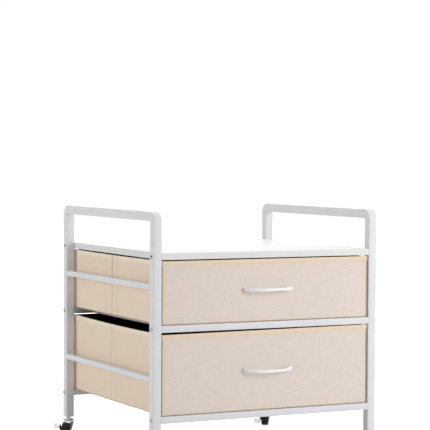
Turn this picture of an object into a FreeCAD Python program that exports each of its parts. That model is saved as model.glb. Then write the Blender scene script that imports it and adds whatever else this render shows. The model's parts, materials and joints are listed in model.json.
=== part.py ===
import FreeCAD, Part
import math
import os

# Rolling stand with two soft drawers: two bent tube side frames joined by crossbars,
# a board on top, runners that carry the drawers, and four swivel casters with side locks.
# X runs to the right, Y to the back and Z up from the floor. All sizes are in millimetres.

# Overall sizes
STAND_WIDTH = 700.0
STAND_DEPTH = 640.0
STAND_HEIGHT = 700.0

# Square steel tubes: side, wall and corner
LEG_TUBE = 25.0
LEG_WALL = 1.2
LEG_CORNER = 1.8
HANDLE_BEND = 2.0
BAR_TUBE = 19.0
BAR_WALL = 1.2
BAR_CORNER = 1.4
RAIL_TUBE = 15.0
RAIL_WALL = 1.0
RAIL_CORNER = 1.2

# Heights of the tops of the horizontal pieces above the floor
BOARD_TOP = 589.0
BOARD_THICKNESS = 18.0
BOARD_EDGE = 0.8
BOARD_FIT = 0.2
MIDDLE_BAR_TOP = 394.0
BOTTOM_BAR_TOP = 148.5
UPPER_RAIL_TOP = 505.0
LOWER_RAIL_TOP = 256.0
RUNNER_INSET = 70.0

# Bolts through the legs into nut blocks in the crossbars
BOLT_RADIUS = 3.0
BOLT_HEAD_ACROSS = 10.0
BOLT_HEAD_HEIGHT = 3.0
NUT_BLOCK = 18.0
HOLE_CLEARANCE = 0.2
THREAD_CLEARANCE = 0.05

# Moulded plugs in the leg ends, which carry the casters
PLUG_FLANGE = 2.5
PLUG_LENGTH = 26.0
PLUG_FIT = 0.1

# Swivel caster: nut, swivel race, kingpin, fork with its axle, wheel and side lock
NUT_ACROSS = 13.0
NUT_HEIGHT = 4.0
RACE_RADIUS = 17.5
RACE_HEIGHT = 8.1
SWIVEL_GAP = 0.4
KINGPIN_RADIUS = 5.0
CROWN_CLEARANCE = 1.3
FORK_PLATE = 2.2
FORK_BEND = 2.0
FORK_TRAIL = 24.0
FORK_EAR = 8.5
FORK_FRONT = 13.0
FORK_BACK = 19.0
FORK_SKIRT = 7.0
FORK_GAP = 0.4
WHEEL_RADIUS = 25.0
WHEEL_WIDTH = 20.0
AXLE_RADIUS = 3.0
AXLE_HEX = 10.0
AXLE_HEX_HEIGHT = 4.0
RUNNING_FIT = 0.05
PLAY = 0.3
LEVER_PLATE = 2.0
LEVER_EYE = 8.0
LEVER_REACH = 28.0
LEVER_NECK = 11.0
LEVER_TAPER = 9.0
LEVER_BEND = 2.0
LEVER_TAB_WIDTH = 16.0
LEVER_TAB_LENGTH = 18.5
LEVER_TAB_CORNER = 3.0

# Each caster: its side and end of the stand, its heading and the rise of its lever in degrees
LEVER_UP = 42.0
LEVER_DOWN = -20.0
CASTERS = {
    "front_left": (-1, -1, -127.0, LEVER_UP),
    "front_right": (1, -1, -131.0, LEVER_UP),
    "rear_left": (-1, 1, -129.0, LEVER_UP),
    "rear_right": (1, 1, -125.5, LEVER_DOWN),
}

# Drawers: soft boxes with a stiff front, a base board, a bound rim and a bow pull
DRAWER_SIDE_GAP = 4.0
DRAWER_RECESS = 4.0
DRAWER_REAR_GAP = 8.0
DRAWER_LIFT = 0.5
UPPER_DRAWER_HEADROOM = 4.0
LOWER_DRAWER_HEADROOM = 3.0
FRONT_THICKNESS = 4.0
FRONT_LIFT = 1.5
FRONT_EDGE = 1.0
BOX_INSET = 2.5
BOX_WALL = 3.0
BOX_BOTTOM = 2.5
CREASE_DEPTH = 1.5
WALL_BOW = 1.2
BASE_THICKNESS = 4.0
BASE_FIT = 0.5
BINDING_HEIGHT = 11.5
BINDING_THICKNESS = 0.8
BINDING_FIT = 0.1

# How far the soft rim dips below the drawer's full height: at the front, middle and rear
UPPER_RIM_LEFT = (0.6, 1.6, 0.4)
UPPER_RIM_RIGHT = (0.0, 1.0, 0.4)
LOWER_RIM_LEFT = (4.2, 5.5, 0.8)
LOWER_RIM_RIGHT = (0.0, 1.5, 0.5)

# Bow pulls
PULL_LENGTH = 158.0
PULL_REACH = 28.0
PULL_THICKNESS = 3.5
PULL_HEIGHT = 9.0
PULL_FOOT_LENGTH = 20.0
PULL_FOOT_HEIGHT = 14.0
PULL_FOOT_CORNER = 3.0
PULL_SHELL = 2.0
UPPER_PULL_SAG = 1.0
LOWER_PULL_SAG = 4.0

X_AXIS = FreeCAD.Vector(1, 0, 0)
Y_AXIS = FreeCAD.Vector(0, 1, 0)
Z_AXIS = FreeCAD.Vector(0, 0, 1)
ORIGIN = FreeCAD.Vector(0, 0, 0)
OVERCUT = 1.0

# Places that several pieces share
OUTER_X = STAND_WIDTH / 2
OUTER_Y = STAND_DEPTH / 2
INNER_X = OUTER_X - LEG_TUBE
INNER_Y = OUTER_Y - LEG_TUBE
LEG_X = OUTER_X - LEG_TUBE / 2
LEG_Y = OUTER_Y - LEG_TUBE / 2
BAR_Y = OUTER_Y - BAR_TUBE / 2
BOARD_MIDDLE = BOARD_TOP - BOARD_THICKNESS / 2
AXLE_HEIGHT = WHEEL_RADIUS
CROWN_UNDER = 2 * WHEEL_RADIUS + CROWN_CLEARANCE
CROWN_TOP = CROWN_UNDER + FORK_PLATE
RACE_UNDER = CROWN_TOP + SWIVEL_GAP
RACE_TOP = RACE_UNDER + RACE_HEIGHT
LEG_BOTTOM = RACE_TOP + NUT_HEIGHT
FORK_INNER = WHEEL_WIDTH / 2 + FORK_GAP
FORK_OUTER = FORK_INNER + FORK_PLATE
LEVER_INNER = FORK_OUTER + PLAY
LEVER_OUTER = LEVER_INNER + LEVER_PLATE
FRONT_FACE = -OUTER_Y + DRAWER_RECESS
BOX_FRONT = FRONT_FACE + FRONT_THICKNESS
BOX_REAR = OUTER_Y - DRAWER_REAR_GAP
BOX_MIDDLE = (BOX_FRONT + BOX_REAR) / 2
FRONT_X = INNER_X - DRAWER_SIDE_GAP
BOX_X = FRONT_X - BOX_INSET


def vector(x, y, z):
    return FreeCAD.Vector(x, y, z)


def line(start, end):
    return Part.LineSegment(start, end).toShape()


def arc(start, middle, end):
    return Part.Arc(start, middle, end).toShape()


def polygon(points):
    """A flat face inside straight edges."""
    return Part.Face(Part.makePolygon(points + points[:1]))


def moved(shape, step):
    shape.translate(step)
    return shape


def block(low, high):
    """A box from its lowest to its highest corner."""
    return Part.makeBox(high[0] - low[0], high[1] - low[1], high[2] - low[2], vector(*low))


def edges_along(shape, axis):
    """The straight edges that run along an axis."""
    return [edge for edge in shape.Edges
            if isinstance(edge.Curve, Part.Line)
            and abs(edge.tangentAt(edge.FirstParameter).dot(axis)) > 0.999]


def chamfered_block(low, high, axis, corner):
    """A box whose edges along one axis are chamfered."""
    shape = block(low, high)
    return shape.makeChamfer(corner, edges_along(shape, axis))


def hexagon(across, height, centre, axis):
    """A hexagonal prism that stands on a point and rises along an axis."""
    corner = across / math.sqrt(3)
    angles = [math.radians(60 * step) for step in range(6)]
    prism = polygon([vector(corner * math.cos(a), corner * math.sin(a), 0) for a in angles])
    prism = prism.extrude(Z_AXIS * height)
    prism.Placement = FreeCAD.Placement(centre, FreeCAD.Rotation(Z_AXIS, axis))
    return prism


def cylinder(radius, start, step):
    """A round bar from a point, as long as a step and along it."""
    return Part.makeCylinder(radius, step.Length, start, step)


def revolved(points, axis):
    """A round piece turned about an axis through the origin from an outline of (radius, height)."""
    place = FreeCAD.Rotation(Z_AXIS, axis)
    return polygon([place.multVec(vector(r, 0, h)) for r, h in points]).revolve(ORIGIN, axis, 360)


def tube_section(side, wall, corner, centre, across, up):
    """The cross-section of a square tube: chamfered corners outside, square inside."""
    half = side / 2
    inner = half - wall
    outline = []
    for sx, sy in ((1, 1), (-1, 1), (-1, -1), (1, -1)):
        flat, steep = (half - corner, half), (half, half - corner)
        first, second = (steep, flat) if sx * sy > 0 else (flat, steep)
        for a, b in (first, second):
            outline.append(centre + across * (sx * a) + up * (sy * b))
    hollow = [centre + across * (sx * inner) + up * (sy * inner)
              for sx, sy in ((1, 1), (-1, 1), (-1, -1), (1, -1))]
    return polygon(outline).cut(polygon(hollow))


def bent_tube(side):
    """Two legs and the handle bar across their top, bent from one square tube."""
    x = side * LEG_X
    bottom = LEG_BOTTOM + PLUG_FLANGE
    turn = HANDLE_BEND + LEG_TUBE
    leg_length = STAND_HEIGHT - turn - bottom
    bar_length = STAND_DEPTH - 2 * turn
    front_foot = tube_section(LEG_TUBE, LEG_WALL, LEG_CORNER, vector(x, -LEG_Y, bottom), X_AXIS, Y_AXIS)
    rear_foot = moved(front_foot.copy(), Y_AXIS * (2 * LEG_Y))
    front_top = moved(front_foot.copy(), Z_AXIS * leg_length)
    rear_top = moved(rear_foot.copy(), Z_AXIS * leg_length)
    bar_start = tube_section(LEG_TUBE, LEG_WALL, LEG_CORNER,
                             vector(x, -OUTER_Y + turn, STAND_HEIGHT - LEG_TUBE / 2), X_AXIS, Z_AXIS)
    bend_height = STAND_HEIGHT - turn
    pieces = [
        front_foot.extrude(Z_AXIS * leg_length),
        front_top.revolve(vector(x, -OUTER_Y + turn, bend_height), X_AXIS, -90),
        bar_start.extrude(Y_AXIS * bar_length),
        rear_top.revolve(vector(x, OUTER_Y - turn, bend_height), X_AXIS, 90),
        rear_foot.extrude(Z_AXIS * leg_length),
    ]
    return pieces[0].fuse(pieces[1:])


def bolt_places(side):
    """Where the frame bolts of one side enter its legs."""
    return [vector(side * OUTER_X, end * BAR_Y, top - BAR_TUBE / 2)
            for end in (-1, 1) for top in (MIDDLE_BAR_TOP, BOTTOM_BAR_TOP)]


def side_frame(side):
    """One bent tube, drilled for the frame bolts."""
    through = X_AXIS * (-side * (LEG_TUBE + 2 * OVERCUT))
    holes = [cylinder(BOLT_RADIUS + HOLE_CLEARANCE, place + X_AXIS * (side * OVERCUT), through)
             for place in bolt_places(side)]
    return bent_tube(side).cut(holes)


def side_rail(side, top):
    """A thin rail welded between the two legs of one side frame, flush with their outer faces."""
    start = vector(side * (OUTER_X - RAIL_TUBE / 2), -INNER_Y, top - RAIL_TUBE / 2)
    section = tube_section(RAIL_TUBE, RAIL_WALL, RAIL_CORNER, start, X_AXIS, Z_AXIS)
    return section.extrude(Y_AXIS * (2 * INNER_Y))


def crossbar(end, top):
    """A bar between the side frames, with a threaded nut block welded into each end."""
    middle = vector(0, end * BAR_Y, top - BAR_TUBE / 2)
    start = middle - X_AXIS * INNER_X
    bar = tube_section(BAR_TUBE, BAR_WALL, BAR_CORNER, start, Y_AXIS, Z_AXIS).extrude(X_AXIS * (2 * INNER_X))
    half = BAR_TUBE / 2 - BAR_WALL
    for side in (-1, 1):
        ends = sorted((side * INNER_X, side * (INNER_X - NUT_BLOCK)))
        nut = block((ends[0], middle.y - half, middle.z - half), (ends[1], middle.y + half, middle.z + half))
        bar = bar.fuse(nut)
    through = X_AXIS * (2 * INNER_X + 2 * OVERCUT)
    bore = cylinder(BOLT_RADIUS + THREAD_CLEARANCE, start - X_AXIS * OVERCUT, through)
    return bar.removeSplitter().cut(bore)


def runner(side, top):
    """A bar from the front crossbar to the rear one, which carries a drawer."""
    half_length = OUTER_Y - BAR_TUBE
    start = vector(side * (INNER_X - RUNNER_INSET - BAR_TUBE / 2), -half_length, top - BAR_TUBE / 2)
    section = tube_section(BAR_TUBE, BAR_WALL, BAR_CORNER, start, X_AXIS, Z_AXIS)
    return section.extrude(Y_AXIS * (2 * half_length))


def top_board():
    """The board between the side frames, its upper edges eased."""
    half = INNER_X - BOARD_FIT
    board = block((-half, -OUTER_Y, BOARD_TOP - BOARD_THICKNESS), (half, OUTER_Y, BOARD_TOP))
    rims = [edge for edge in edges_along(board, X_AXIS) + edges_along(board, Y_AXIS)
            if edge.BoundBox.ZMin > BOARD_TOP - BOARD_THICKNESS / 2]
    return board.makeChamfer(BOARD_EDGE, rims)


def frame_bolts(side):
    """The bolts of one side frame: through a leg into the nut block of a crossbar."""
    shank = cylinder(BOLT_RADIUS, ORIGIN, X_AXIS * (-side * (LEG_TUBE + NUT_BLOCK)))
    bolt = shank.fuse(hexagon(BOLT_HEAD_ACROSS, BOLT_HEAD_HEIGHT, ORIGIN, X_AXIS * side))
    return Part.makeCompound([moved(bolt.copy(), place) for place in bolt_places(side)])


def under_each_leg(shape):
    """Copies of a piece that is modelled about the origin, one under each leg."""
    places = [vector(side * LEG_X, end * LEG_Y, 0) for side in (-1, 1) for end in (-1, 1)]
    return Part.makeCompound([moved(shape.copy(), place) for place in places])


def caster_mount():
    """The fixed half of a caster: a plug in the leg, a nut, the swivel race and its kingpin."""
    half = LEG_TUBE / 2
    inside = half - LEG_WALL - PLUG_FIT
    flange_top = LEG_BOTTOM + PLUG_FLANGE
    flange = chamfered_block((-half, -half, LEG_BOTTOM), (half, half, flange_top), Z_AXIS, LEG_CORNER)
    body = block((-inside, -inside, flange_top), (inside, inside, flange_top + PLUG_LENGTH))
    nut = hexagon(NUT_ACROSS, NUT_HEIGHT, vector(0, 0, RACE_TOP), Z_AXIS)
    pin_bottom = CROWN_UNDER - PLAY
    spindle = revolved([(0, pin_bottom), (KINGPIN_RADIUS, pin_bottom), (KINGPIN_RADIUS, RACE_UNDER),
                        (RACE_RADIUS, RACE_UNDER), (RACE_RADIUS, RACE_TOP), (0, RACE_TOP)], Z_AXIS)
    return spindle.fuse([nut, flange, body])


def tangent_point(point, centre, radius, turn):
    """Where a line from a point touches a circle, as (along, height); turn picks the side."""
    along, height = centre[0] - point[0], centre[1] - point[1]
    distance = math.hypot(along, height)
    heading = math.atan2(height, along) + turn * math.asin(radius / distance)
    reach = math.sqrt(distance ** 2 - radius ** 2)
    return point[0] + reach * math.cos(heading), point[1] + reach * math.sin(heading)


def fork_side_view():
    """The side view of the fork: a short skirt at the kingpin that narrows to the axle's ear."""
    axle = (FORK_TRAIL, AXLE_HEIGHT)
    bend_bottom = CROWN_UNDER - FORK_BEND
    front_corner = (-FORK_FRONT, CROWN_TOP - FORK_SKIRT)
    back_corner = (FORK_BACK, bend_bottom)
    front_touch = tangent_point(front_corner, axle, FORK_EAR, -1)
    back_touch = tangent_point(back_corner, axle, FORK_EAR, 1)
    top = CROWN_TOP + OVERCUT
    corners = [vector(along, -FORK_OUTER - OVERCUT, height) for along, height in
               (front_touch, front_corner, (-FORK_FRONT, top), (FORK_BACK, top), back_corner, back_touch)]
    edges = [line(start, end) for start, end in zip(corners, corners[1:])]
    lowest = vector(FORK_TRAIL, -FORK_OUTER - OVERCUT, AXLE_HEIGHT - FORK_EAR)
    edges.append(arc(corners[-1], lowest, corners[0]))
    return Part.Face(Part.Wire(edges)).extrude(Y_AXIS * (2 * FORK_OUTER + 2 * OVERCUT))


def fork():
    """A fork bent from one plate: a crown that turns on the kingpin and two legs with the axle."""
    start, end = -FORK_FRONT - OVERCUT, FORK_TRAIL + FORK_EAR + OVERCUT
    bottom = AXLE_HEIGHT - FORK_EAR - OVERCUT
    outer = block((start, -FORK_OUTER, bottom), (end, FORK_OUTER, CROWN_TOP))
    inner = block((start, -FORK_INNER, bottom), (end, FORK_INNER, CROWN_UNDER))
    outer_bends = [edge for edge in edges_along(outer, X_AXIS) if edge.BoundBox.ZMin > AXLE_HEIGHT]
    inner_bends = [edge for edge in edges_along(inner, X_AXIS) if edge.BoundBox.ZMin > AXLE_HEIGHT]
    channel = outer.makeFillet(FORK_BEND + FORK_PLATE, outer_bends)
    channel = channel.cut(inner.makeFillet(FORK_BEND, inner_bends))
    kingpin_hole = cylinder(KINGPIN_RADIUS + RUNNING_FIT, vector(0, 0, CROWN_UNDER - OVERCUT),
                            Z_AXIS * (FORK_PLATE + 2 * OVERCUT))
    return channel.common(fork_side_view()).cut(kingpin_hole).fuse(axle_bolt())


def wheel():
    """A moulded wheel turned about its axle."""
    half = WHEEL_WIDTH / 2
    bore = AXLE_RADIUS + RUNNING_FIT
    outline = [(bore, half), (WHEEL_RADIUS, half), (WHEEL_RADIUS, -half), (bore, -half)]
    return moved(revolved(outline, Y_AXIS), vector(FORK_TRAIL, 0, AXLE_HEIGHT))


def axle_bolt():
    """The axle: its head on one side of the fork, and its nut beyond the lever on the other."""
    nut_start = LEVER_OUTER + PLAY
    shank = cylinder(AXLE_RADIUS, vector(0, -nut_start, 0), Y_AXIS * (nut_start + FORK_OUTER))
    head = hexagon(AXLE_HEX, AXLE_HEX_HEIGHT, vector(0, FORK_OUTER, 0), Y_AXIS)
    nut = hexagon(AXLE_HEX, AXLE_HEX_HEIGHT, vector(0, -nut_start, 0), Y_AXIS * -1)
    return moved(shank.fuse([head, nut]), vector(FORK_TRAIL, 0, AXLE_HEIGHT))


def lock_lever(rise):
    """The side lock: a stamped plate that turns on the axle, its foot tab folded outwards."""
    half_tab = LEVER_TAB_WIDTH / 2
    tab_end = LEVER_OUTER + LEVER_TAB_LENGTH
    tab_back = LEVER_REACH - LEVER_PLATE
    points = [(-LEVER_EYE, LEVER_INNER), (-LEVER_EYE, LEVER_OUTER), (tab_back, LEVER_OUTER),
              (tab_back, tab_end), (LEVER_REACH, tab_end), (LEVER_REACH, LEVER_INNER)]
    sheet = polygon([vector(x, -y, -half_tab) for x, y in points]).extrude(Z_AXIS * LEVER_TAB_WIDTH)
    folds = [edge for edge in edges_along(sheet, Z_AXIS)
             if edge.BoundBox.XMin > 0 and edge.BoundBox.YMin > -LEVER_OUTER - OVERCUT]
    inside = [edge for edge in folds if edge.BoundBox.XMin < tab_back + OVERCUT / 2]
    sheet = sheet.makeFillet(LEVER_BEND, inside)
    outside = [edge for edge in edges_along(sheet, Z_AXIS)
               if edge.BoundBox.XMin > tab_back + OVERCUT and edge.BoundBox.YMin > -LEVER_OUTER]
    sheet = sheet.makeFillet(LEVER_BEND + LEVER_PLATE / 2, outside)

    shoulder = LEVER_REACH - LEVER_PLATE - LEVER_BEND - LEVER_TAPER
    end = LEVER_REACH + OVERCUT
    upper = [(-LEVER_EYE, LEVER_EYE / 2), (-LEVER_EYE / 2, LEVER_EYE), (LEVER_EYE / 2, LEVER_EYE),
             (shoulder, LEVER_NECK / 2), (shoulder + LEVER_TAPER, half_tab), (end, half_tab)]
    outline = upper + [(x, -z) for x, z in reversed(upper)]
    depth = Y_AXIS * -(tab_end + OVERCUT)
    side_view = polygon([vector(x, 0, z) for x, z in outline]).extrude(depth)
    blank = chamfered_block((-LEVER_EYE - OVERCUT, -tab_end, -half_tab), (end, tab_end, half_tab),
                            X_AXIS, LEVER_TAB_CORNER)
    bore = cylinder(AXLE_RADIUS + RUNNING_FIT, ORIGIN, depth)
    lever = sheet.common(side_view).common(blank).cut(bore)
    lever.rotate(ORIGIN, Y_AXIS, -rise)
    return moved(lever, vector(FORK_TRAIL, 0, AXLE_HEIGHT))


def turning_caster(side, end, heading, rise):
    """The pieces of one caster that swivel, turned to its heading and put under its leg."""
    pieces = {"fork": fork(), "wheel": wheel(), "lever": lock_lever(rise)}
    for shape in pieces.values():
        shape.rotate(ORIGIN, Z_AXIS, heading)
        shape.translate(vector(side * LEG_X, end * LEG_Y, 0))
    return pieces


def soft_outline(inset):
    """The plan of a soft box: its sides bow out a little and draw in at a middle crease."""
    half = BOX_X - inset
    front = BOX_FRONT + inset
    rear = BOX_REAR - inset
    bow = half - CREASE_DEPTH / 2 + WALL_BOW
    edges = []
    for side in (-1, 1):
        marks = [(half, front), (bow, (front + BOX_MIDDLE) / 2), (half - CREASE_DEPTH, BOX_MIDDLE),
                 (bow, (rear + BOX_MIDDLE) / 2), (half, rear)]
        points = [vector(side * x, y, 0) for x, y in marks]
        edges += [arc(*points[:3]), arc(*points[2:])]
    for y in (front, rear):
        edges.append(line(vector(-half, y, 0), vector(half, y, 0)))
    return Part.Wire(Part.__sortEdges__(edges))


def soft_prism(inset, bottom, top):
    """A solid with the plan of a soft box between two heights."""
    return moved(Part.Face(soft_outline(inset)).extrude(Z_AXIS * (top - bottom)), Z_AXIS * bottom)


def below_rim(bottom, top, rim_left, rim_right):
    """Everything under the dipping rim of a drawer, which runs straight across from side to side."""
    sections = []
    for x, dips in ((-INNER_X, rim_left), (INNER_X, rim_right)):
        front, middle, rear = [vector(x, y, top - dip) for y, dip in
                               zip((-OUTER_Y, BOX_MIDDLE, OUTER_Y), dips)]
        low_front, low_rear = vector(x, -OUTER_Y, bottom), vector(x, OUTER_Y, bottom)
        sections.append(Part.Wire([line(low_front, front), arc(front, middle, rear),
                                   line(rear, low_rear), line(low_rear, low_front)]))
    return Part.makeLoft(sections, True, True)


def front_block(bottom, top, outset):
    """The space of a drawer's front panel, grown forwards by an outset."""
    return block((-FRONT_X, FRONT_FACE - outset, bottom), (FRONT_X, BOX_FRONT, top))


def drawer(bottom, top, rim_left, rim_right, sag):
    """All pieces of one drawer, from its lowest face to the highest point of its rim."""
    full = below_rim(bottom, top, rim_left, rim_right)
    inside = soft_prism(BOX_WALL, bottom + BOX_BOTTOM, top + OVERCUT)
    box = soft_prism(0, bottom, top).cut(inside).common(full)

    panel = front_block(bottom + FRONT_LIFT, top, 0)
    face_edges = [edge for edge in panel.Edges if edge.BoundBox.YMax < FRONT_FACE + OVERCUT]
    panel = panel.makeChamfer(FRONT_EDGE, face_edges).common(full)

    base_bottom = bottom + BOX_BOTTOM
    base = soft_prism(BOX_WALL + BASE_FIT, base_bottom, base_bottom + BASE_THICKNESS)
    return {
        "box": box,
        "front": panel,
        "base_board": base,
        "binding": rim_binding(bottom, top, full),
        "pull": bow_pull(bottom, top, sag),
    }


def rim_binding(bottom, top, full):
    """The tape folded over the rim: outside, on top and inside of the walls and the front."""
    reach = BINDING_FIT + BINDING_THICKNESS
    cover = moved(full.copy(), Z_AXIS * reach).cut(moved(full.copy(), Z_AXIS * -BINDING_HEIGHT))
    walls = soft_prism(-BINDING_FIT, bottom, top + OVERCUT)
    walls = walls.fuse(front_block(bottom, top + OVERCUT, BINDING_FIT))
    walls = walls.cut(soft_prism(BOX_WALL + BINDING_FIT, bottom - OVERCUT, top + 2 * OVERCUT))
    walls = walls.common(moved(full.copy(), Z_AXIS * BINDING_FIT))
    tape = soft_prism(-reach, bottom, top + OVERCUT).fuse(front_block(bottom, top + OVERCUT, reach))
    tape = tape.cut(soft_prism(BOX_WALL + reach, bottom - OVERCUT, top + 2 * OVERCUT))
    return tape.common(cover).cut(walls)


def bow_pull(bottom, top, sag):
    """A moulded bow pull: an arched strap, narrow and a little low in the middle, on two feet."""
    middle = (bottom + top) / 2
    end = PULL_LENGTH / 2
    root = end - PULL_SHELL
    inner_root = root - 2 * PULL_THICKNESS
    half_foot = PULL_FOOT_HEIGHT / 2
    low = middle - half_foot - sag

    def plan(x, reach):
        return vector(x, FRONT_FACE - reach, low)

    edges = [arc(plan(-root, 0), plan(0, PULL_REACH), plan(root, 0)),
             line(plan(root, 0), plan(inner_root, 0)),
             arc(plan(inner_root, 0), plan(0, PULL_REACH - PULL_THICKNESS), plan(-inner_root, 0)),
             line(plan(-inner_root, 0), plan(-root, 0))]
    strap = Part.Face(Part.Wire(edges)).extrude(Z_AXIS * (PULL_FOOT_HEIGHT + sag))

    def view(x, height):
        return vector(x, FRONT_FACE, middle + height)

    half = PULL_HEIGHT / 2
    waist_edges = [arc(view(-end, half_foot), view(0, half - sag), view(end, half_foot)),
                   line(view(end, half_foot), view(end, -half_foot)),
                   arc(view(end, -half_foot), view(0, -half - sag), view(-end, -half_foot)),
                   line(view(-end, -half_foot), view(-end, half_foot))]
    waist = Part.Face(Part.Wire(waist_edges)).extrude(Y_AXIS * -(PULL_REACH + OVERCUT))
    pull = strap.common(waist)
    for side in (-1, 1):
        ends = sorted((side * (end - PULL_FOOT_LENGTH), side * end))
        foot = chamfered_block((ends[0], FRONT_FACE - PULL_THICKNESS, middle - half_foot),
                               (ends[1], FRONT_FACE, middle + half_foot), Y_AXIS, PULL_FOOT_CORNER)
        pull = pull.fuse(foot)
    return pull.removeSplitter()


def stand():
    """Every piece of the stand by name."""
    pieces = {
        "top_board": top_board(),
        "caster_mounts": under_each_leg(caster_mount()),
    }
    for name, side in (("left", -1), ("right", 1)):
        pieces["side_frame_" + name] = side_frame(side)
        pieces["frame_bolts_" + name] = frame_bolts(side)
        pieces["side_rail_upper_" + name] = side_rail(side, UPPER_RAIL_TOP)
        pieces["side_rail_lower_" + name] = side_rail(side, LOWER_RAIL_TOP)
        pieces["runner_middle_" + name] = runner(side, MIDDLE_BAR_TOP)
        pieces["runner_bottom_" + name] = runner(side, BOTTOM_BAR_TOP)
    for name, end in (("front", -1), ("rear", 1)):
        pieces["crossbar_middle_" + name] = crossbar(end, MIDDLE_BAR_TOP)
        pieces["crossbar_bottom_" + name] = crossbar(end, BOTTOM_BAR_TOP)
    for name, place in CASTERS.items():
        for piece, shape in turning_caster(*place).items():
            pieces["caster_" + name + "_" + piece] = shape
    upper = drawer(MIDDLE_BAR_TOP + DRAWER_LIFT, BOARD_TOP - BOARD_THICKNESS - UPPER_DRAWER_HEADROOM,
                   UPPER_RIM_LEFT, UPPER_RIM_RIGHT, UPPER_PULL_SAG)
    lower = drawer(BOTTOM_BAR_TOP + DRAWER_LIFT, MIDDLE_BAR_TOP - BAR_TUBE - LOWER_DRAWER_HEADROOM,
                   LOWER_RIM_LEFT, LOWER_RIM_RIGHT, LOWER_PULL_SAG)
    for name, drawer_pieces in (("upper", upper), ("lower", lower)):
        for piece, shape in drawer_pieces.items():
            pieces[name + "_drawer_" + piece] = shape
    return pieces


def middle_of(shapes):
    """The middle of the floor area that the shapes cover."""
    reach = Part.makeCompound(shapes).optimalBoundingBox(False)
    return vector(reach.Center.x, reach.Center.y, 0)


PIECES = stand()
BASE_CENTRE = middle_of(list(PIECES.values()))
os.makedirs("parts", exist_ok=True)
for piece_name, piece in PIECES.items():
    piece.translate(BASE_CENTRE * -1)
    piece.exportStep("parts/" + piece_name + ".step")
print(len(PIECES), "pieces; the stand's own centre lies at", BASE_CENTRE * -1)
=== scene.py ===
import bpy
import json
import math
from mathutils import Matrix, Vector, noise


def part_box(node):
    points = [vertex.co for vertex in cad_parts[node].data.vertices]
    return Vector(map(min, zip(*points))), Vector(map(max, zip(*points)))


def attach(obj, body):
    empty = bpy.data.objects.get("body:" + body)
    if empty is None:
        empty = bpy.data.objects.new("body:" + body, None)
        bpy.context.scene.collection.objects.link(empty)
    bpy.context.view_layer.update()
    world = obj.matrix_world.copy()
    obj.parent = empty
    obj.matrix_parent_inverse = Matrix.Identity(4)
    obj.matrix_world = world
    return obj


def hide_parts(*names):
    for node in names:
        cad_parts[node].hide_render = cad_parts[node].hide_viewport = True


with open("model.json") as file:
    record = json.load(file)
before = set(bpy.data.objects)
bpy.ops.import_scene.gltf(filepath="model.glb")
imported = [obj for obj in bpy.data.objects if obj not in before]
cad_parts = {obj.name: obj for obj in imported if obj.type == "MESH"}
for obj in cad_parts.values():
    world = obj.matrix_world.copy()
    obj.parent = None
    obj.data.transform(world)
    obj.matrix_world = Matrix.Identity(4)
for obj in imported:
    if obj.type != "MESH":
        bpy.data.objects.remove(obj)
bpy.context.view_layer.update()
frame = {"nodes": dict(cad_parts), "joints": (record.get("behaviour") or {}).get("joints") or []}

# The camera stands in front of the stand, to its left and a little above it.
# Its place is in millimetres from the middle of the stand, which the two side frames give.
MM = 0.001
CAMERA_PLACE = (-2323.03, -4575.15, 860.30)
CAMERA_HEADING = -26.878
CAMERA_DIP = 2.041
CAMERA_ROLL = 0.319
left_low, left_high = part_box("side_frame_left")
right_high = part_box("side_frame_right")[1]
middle_x = (left_low.x + right_high.x) / 2
middle_y = (left_low.y + left_high.y) / 2


def at(x, y, z):
    """A place in millimetres from the middle of the stand, in metres in the row frame."""
    return Vector((middle_x + x * MM, middle_y + y * MM, z * MM))


camera = bpy.data.objects.new("camera", bpy.data.cameras.new("camera"))
bpy.context.scene.collection.objects.link(camera)
camera.data.sensor_width = 36.0
camera.data.lens = 147.131
camera.data.clip_end = 50.0
camera.matrix_world = (Matrix.Translation(at(*CAMERA_PLACE))
                       @ Matrix.Rotation(math.radians(CAMERA_HEADING), 4, "Z")
                       @ Matrix.Rotation(math.radians(90 - CAMERA_DIP), 4, "X")
                       @ Matrix.Rotation(math.radians(CAMERA_ROLL), 4, "Z"))
bpy.context.scene.camera = camera


# Side frames: each is one square steel tube, bent into two legs and a handle bar.
# The tube has drawn, rounded corners, and the whole frame is powder coated white.
SIDES = ((-1, "left"), (1, "right"))
HALF_WIDTH = 350.0
HALF_DEPTH = 320.0
LEG = 25.0
LEG_CORNER = 1.9
LEG_X = HALF_WIDTH - LEG / 2
LEG_Y = HALF_DEPTH - LEG / 2
LEG_LOW = 68.5
BEND_Y = 293.0
BEND_Z = 673.0


def colour(hex_value):
    """An sRGB hex value as linear red, green, blue and alpha."""
    parts = [int(hex_value[i:i + 2], 16) / 255 for i in (1, 3, 5)]
    linear = [c / 12.92 if c <= 0.04045 else ((c + 0.055) / 1.055) ** 2.4 for c in parts]
    return (*linear, 1.0)


def add_node(material, kind, settings=None, values=None, links=None, tones=None):
    """Adds one shader node with its settings, its socket values, its links and, on a ramp, its tones."""
    node = material.node_tree.nodes.new(kind)
    for name, value in (settings or {}).items():
        setattr(node, name, value)
    for name, value in (values or {}).items():
        node.inputs[name].default_value = value
    for name, output in (links or {}).items():
        material.node_tree.links.new(output, node.inputs[name])
    for index, (position, hex_value) in enumerate(tones or ()):
        node.color_ramp.elements[index].position = position
        node.color_ramp.elements[index].color = colour(hex_value)
    return node


def new_material(name):
    """An empty material, and its Object coordinates in millimetres."""
    material = bpy.data.materials.new(name)
    material.use_nodes = True
    material.node_tree.nodes.clear()
    place = add_node(material, "ShaderNodeTexCoord")
    scaled = add_node(material, "ShaderNodeVectorMath", {"operation": "SCALE"}, {"Scale": 1000.0},
                      {0: place.outputs["Object"]})
    return material, scaled.outputs[0]


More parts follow.
